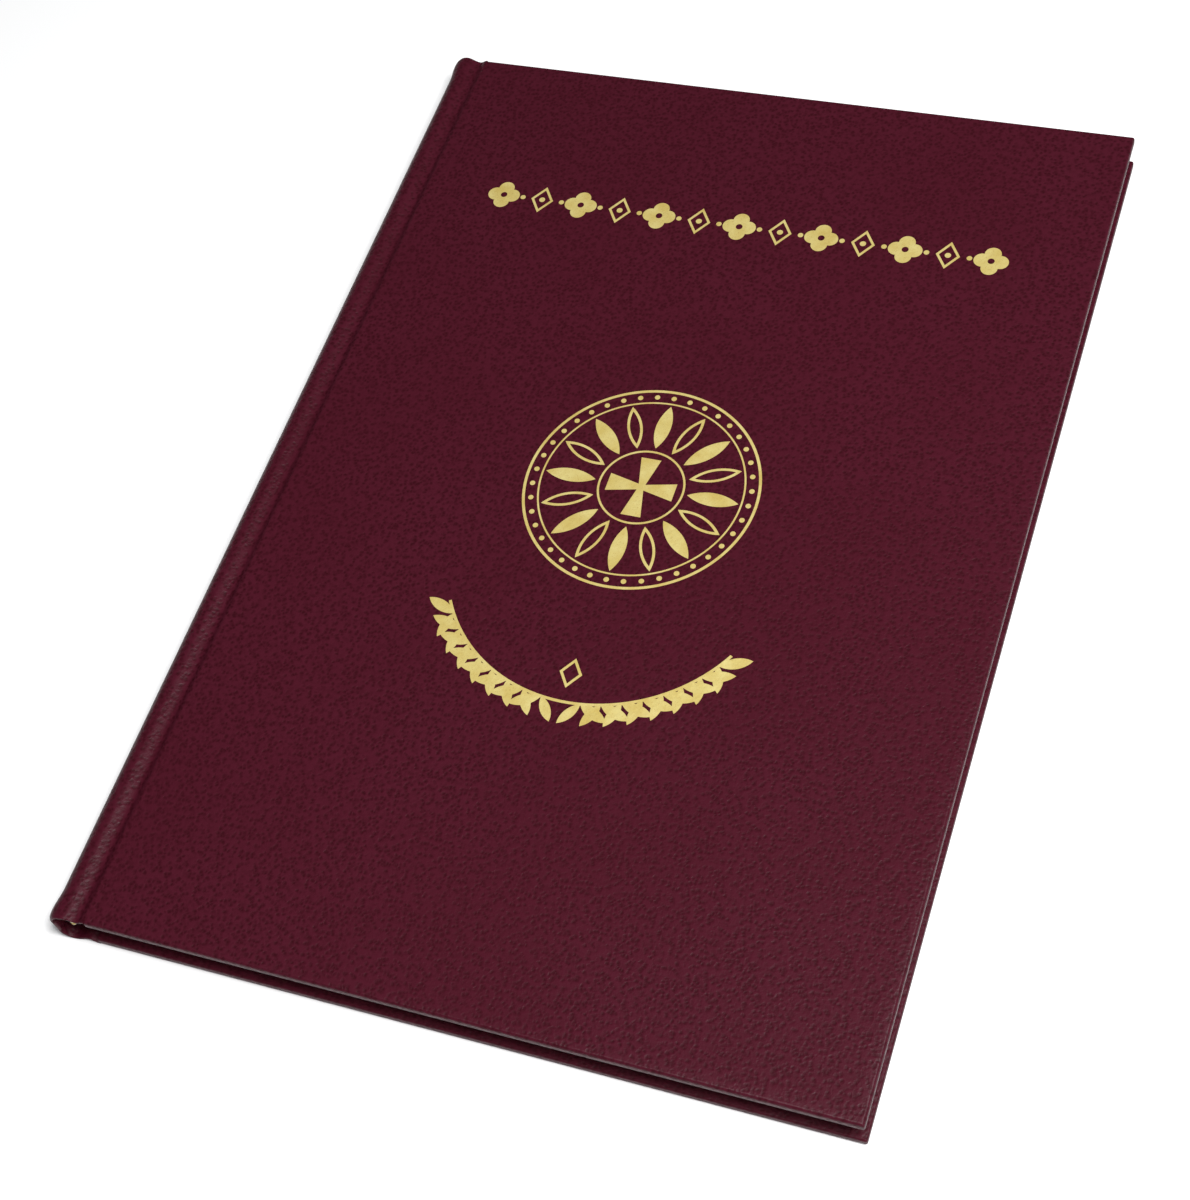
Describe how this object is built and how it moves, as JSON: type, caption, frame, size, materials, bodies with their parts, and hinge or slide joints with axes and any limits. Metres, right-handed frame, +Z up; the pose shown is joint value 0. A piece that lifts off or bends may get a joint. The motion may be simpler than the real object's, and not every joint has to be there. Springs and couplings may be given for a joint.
{
  "type": "prayer book",
  "caption": "Large hardback prayer book in burgundy leather-grain covering with gold foil ornament; cover and leaves open on a sewn spine.",
  "frame": {"origin": "middle of the closed book's footprint, on the surface it lies on", "axes": "+X from the spine to the fore-edge, +Y from the tail to the head, +Z up through the front cover"},
  "size_m": [0.214, 0.305, 0.0129],
  "materials": {
    "covering": "satin leather grain",
    "greyboard": "matt",
    "mull": "open weave",
    "endpaper": "matt",
    "leaves": "matt",
    "thread": "matt",
    "kraft": "matt",
    "headband_cloth": "woven",
    "gold_foil": "stamped foil, satin"
  },
  "bodies": {
    "back_cover": {"back_covering": "covering", "back_board": "greyboard", "back_mull_flange": "mull", "back_pastedown": "endpaper", "back_endpaper_hinge": "endpaper", "back_flyleaf": "endpaper", "gathering_8": "leaves", "sewing_threads": "thread", "spine_mull": "mull", "spine_lining": "kraft", "headband": "headband_cloth", "tailband": "headband_cloth", "back_joint_covering": "covering"},
    "spine": {"spine_covering": "covering", "spine_inlay": "greyboard"},
    "front_half": {"gathering_1": "leaves", "front_endpaper_hinge": "endpaper", "front_joint_covering": "covering"},
    "front_flyleaf": {"front_flyleaf": "endpaper"},
    "front_cover": {"front_covering": "covering", "front_board": "greyboard", "front_mull_flange": "mull", "front_pastedown": "endpaper", "foil_band": "gold_foil", "foil_medallion": "gold_foil"},
    "gathering_2": {"gathering_2": "leaves"},
    "gathering_3": {"gathering_3": "leaves"},
    "gathering_4": {"gathering_4": "leaves"},
    "gathering_5": {"gathering_5": "leaves"},
    "gathering_6": {"gathering_6": "leaves"},
    "gathering_7": {"gathering_7": "leaves"}
  },
  "joints": [
    {"name": "front_cover_hinge", "type": "hinge", "parent": "front_half", "child": "front_cover", "pos_m": [-0.09875, 0, 0.0134], "axis": [0, -1, 0], "range_deg": [0, 178], "deforming": ["front_joint_covering", "front_endpaper_hinge"]},
    {"name": "centre_opening", "type": "hinge", "parent": "back_cover", "child": "front_half", "pos_m": [-0.1047, 0, 0.00643], "axis": [0, 1, 0], "range_deg": [-150, 0], "deforming": ["spine_mull", "spine_lining", "sewing_threads", "headband", "tailband"]},
    {"name": "spine_swing", "type": "hinge", "parent": "back_cover", "child": "spine", "pos_m": [-0.105, 0, 0.0024], "axis": [0, 1, 0], "range_deg": [-68, 0], "deforming": ["back_joint_covering"]},
    {"name": "front_flyleaf_lift", "type": "hinge", "parent": "front_half", "child": "front_flyleaf", "pos_m": [-0.104, 0, 0.00983], "axis": [0, -1, 0], "range_deg": [0, 3]},
    {"name": "gathering_2_fan", "type": "hinge", "parent": "front_half", "child": "gathering_2", "pos_m": [-0.1047, 0, 0.00643], "axis": [0, 1, 0], "range_deg": [0, 1.6]},
    {"name": "gathering_3_fan", "type": "hinge", "parent": "front_half", "child": "gathering_3", "pos_m": [-0.1047, 0, 0.00643], "axis": [0, 1, 0], "range_deg": [0, 3.2]},
    {"name": "gathering_4_fan", "type": "hinge", "parent": "front_half", "child": "gathering_4", "pos_m": [-0.1047, 0, 0.00643], "axis": [0, 1, 0], "range_deg": [0, 4.8]},
    {"name": "gathering_5_fan", "type": "hinge", "parent": "back_cover", "child": "gathering_5", "pos_m": [-0.1047, 0, 0.00643], "axis": [0, 1, 0], "range_deg": [-4.8, 0]},
    {"name": "gathering_6_fan", "type": "hinge", "parent": "back_cover", "child": "gathering_6", "pos_m": [-0.1047, 0, 0.00643], "axis": [0, 1, 0], "range_deg": [-3.2, 0]},
    {"name": "gathering_7_fan", "type": "hinge", "parent": "back_cover", "child": "gathering_7", "pos_m": [-0.1047, 0, 0.00643], "axis": [0, 1, 0], "range_deg": [-1.6, 0]}
  ],
  "couplings": [
    {"joint": "spine_swing", "follows": "centre_opening", "ratio": 0.45333},
    {"joint": "front_flyleaf_lift", "follows": "front_cover_hinge", "ratio": 0.016854},
    {"joint": "gathering_2_fan", "follows": "centre_opening", "ratio": -0.010667},
    {"joint": "gathering_3_fan", "follows": "centre_opening", "ratio": -0.021333},
    {"joint": "gathering_4_fan", "follows": "centre_opening", "ratio": -0.032},
    {"joint": "gathering_5_fan", "follows": "centre_opening", "ratio": 0.032},
    {"joint": "gathering_6_fan", "follows": "centre_opening", "ratio": 0.021333},
    {"joint": "gathering_7_fan", "follows": "centre_opening", "ratio": 0.010667}
  ]
}
